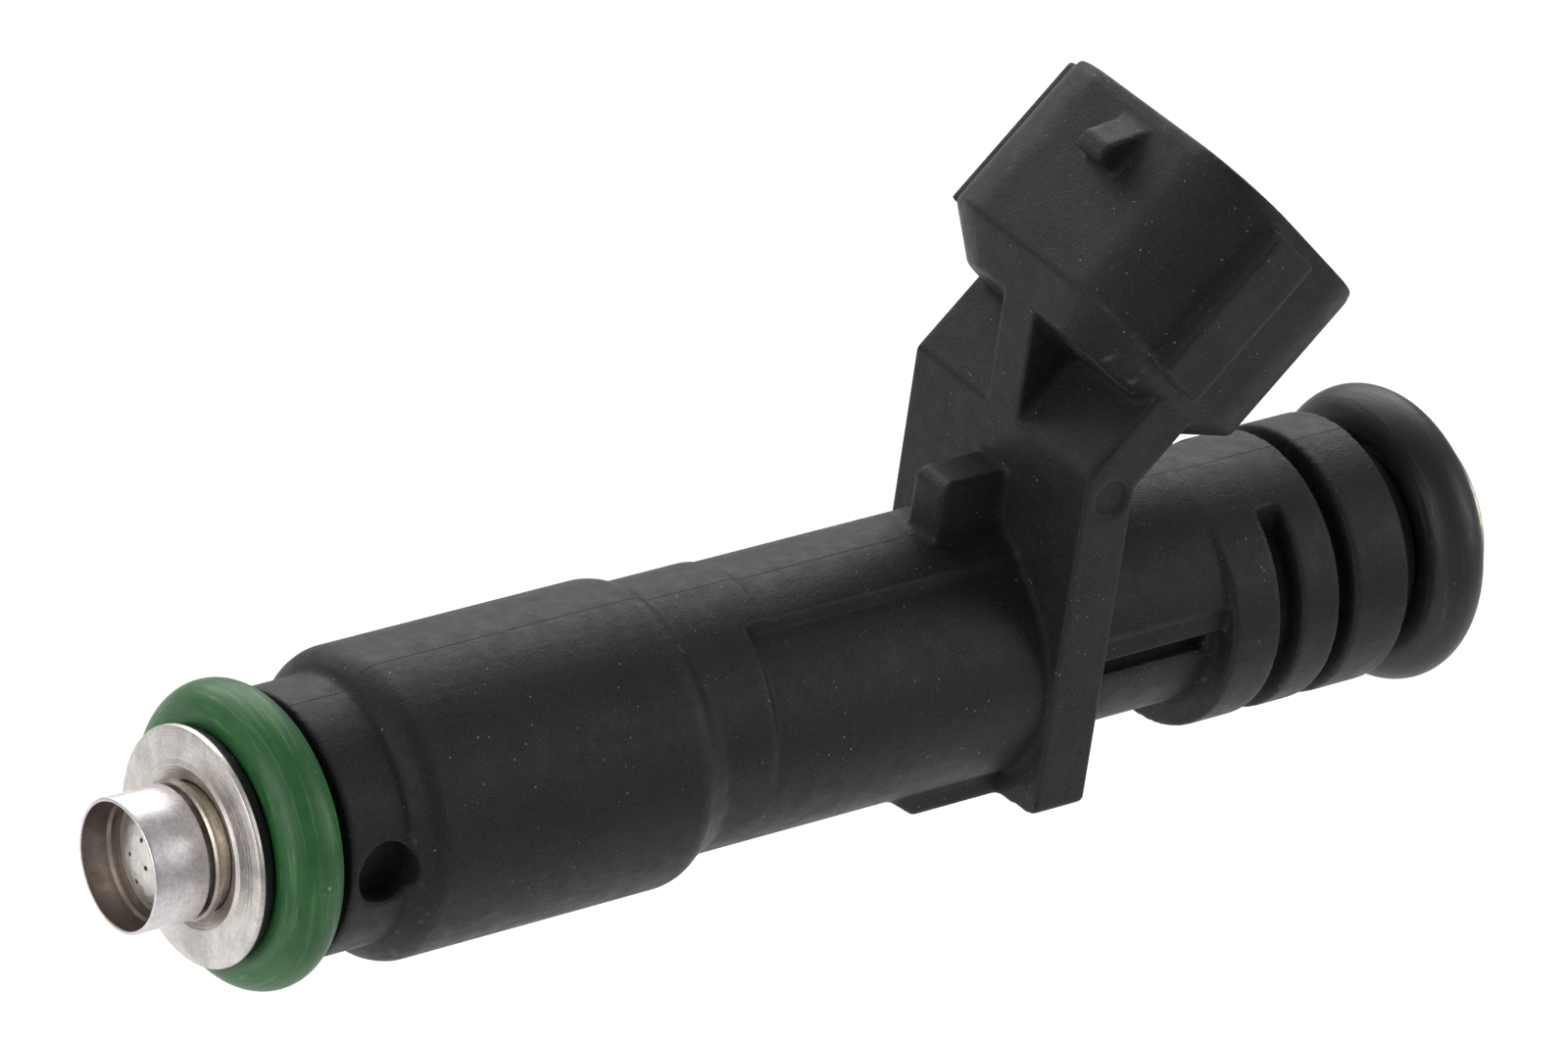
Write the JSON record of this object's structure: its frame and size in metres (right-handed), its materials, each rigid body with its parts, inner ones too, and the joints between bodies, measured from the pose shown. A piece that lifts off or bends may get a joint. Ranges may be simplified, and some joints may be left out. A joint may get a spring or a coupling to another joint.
{
  "type": "fuel injector",
  "caption": "Electromagnetic port fuel injector with a moulded body, slanted connector, spray tip and O-ring seals.",
  "frame": {"origin": "on the fuel path's axis at the centre of the lower (manifold) O-ring", "axes": "+X along the fuel path's axis from the spray tip to the fuel inlet, +Z to the side that carries the connector, +Y completes the right-handed frame"},
  "size_m": [0.0761, 0.0174, 0.035],
  "materials": {
    "body_plastic": "fine matte moulded, glass-filled",
    "disc_steel": "turned",
    "green_rubber": "satin",
    "black_rubber": "satin",
    "tip_steel": "brushed",
    "valve_steel": "ground",
    "ball_steel": "polished",
    "magnet_steel": "turned",
    "spring_steel": "drawn wire",
    "tube_steel": "drawn",
    "bobbin_plastic": "moulded",
    "winding_copper": "enamelled wire",
    "terminal_tin": "tin plated",
    "filter_plastic": "moulded",
    "filter_fabric": "woven"
  },
  "bodies": {
    "injector_body": {"overmold": "body_plastic", "retainer_disc": "disc_steel", "lower_o_ring": "green_rubber", "upper_o_ring": "black_rubber", "tip_cup": "tip_steel", "orifice_plate": "tip_steel", "valve_seat": "valve_steel", "return_spring": "spring_steel", "adjusting_sleeve": "valve_steel", "pole_core": "magnet_steel", "fuel_tube": "tube_steel", "magnet_housing": "magnet_steel", "magnet_cover": "magnet_steel", "coil_bobbin": "bobbin_plastic", "coil_winding": "winding_copper", "terminal_left": "terminal_tin", "terminal_right": "terminal_tin", "filter_frame": "filter_plastic", "filter_mesh": "filter_fabric"},
    "needle_assembly": {"valve_ball": "ball_steel", "needle_tube": "valve_steel", "armature": "magnet_steel"}
  },
  "joints": [
    {"name": "needle_lift", "type": "slide", "parent": "injector_body", "child": "needle_assembly", "axis": [1, 0, 0], "range_m": [0, 0.0001], "stiffness_N_per_m": 1500, "springref_m": -0.002, "deforming": ["return_spring"]}
  ]
}
